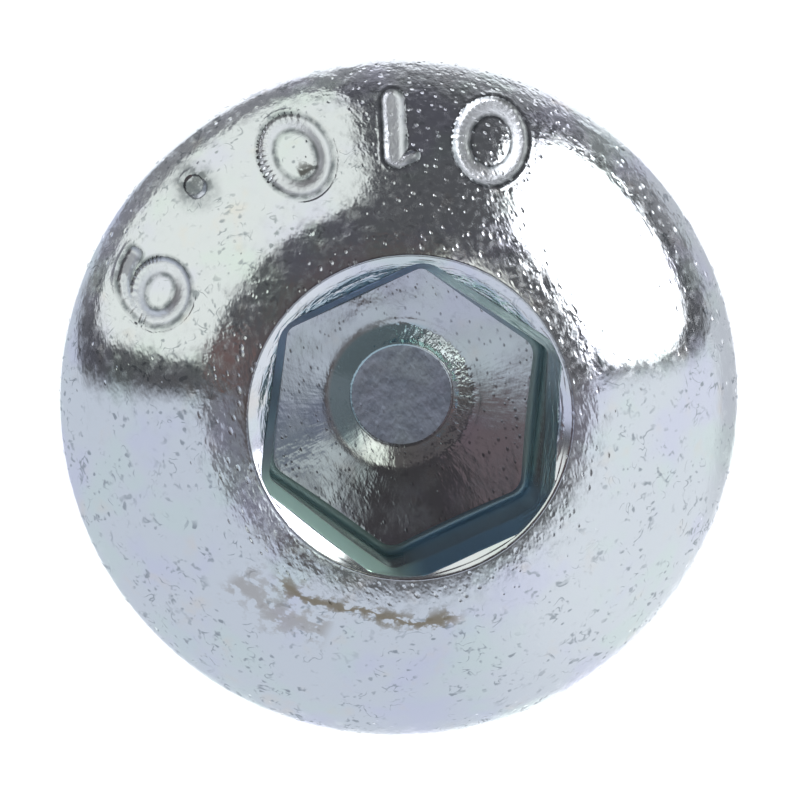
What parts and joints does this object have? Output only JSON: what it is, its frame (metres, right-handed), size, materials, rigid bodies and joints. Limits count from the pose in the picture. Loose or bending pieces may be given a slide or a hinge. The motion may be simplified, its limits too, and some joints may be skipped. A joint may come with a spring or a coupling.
{
  "type": "button head screw",
  "caption": "Short screw with a low domed round head, a hexagon socket for a key and a thread up to the neck.",
  "frame": {"origin": "centre of the flat bearing face under the head, on the screw's axis", "axes": "+Z along the screw's axis from the thread end to the head; +X square to a flat of the hexagon socket; +Y through one of its corners"},
  "size_m": [0.0104, 0.0104, 0.0152],
  "materials": {
    "zinc_plate": "bright zinc plate on forged steel, smooth and half mirror-like with fine pits"
  },
  "bodies": {
    "root": {"button_head_screw": "zinc_plate"}
  },
  "joints": []
}
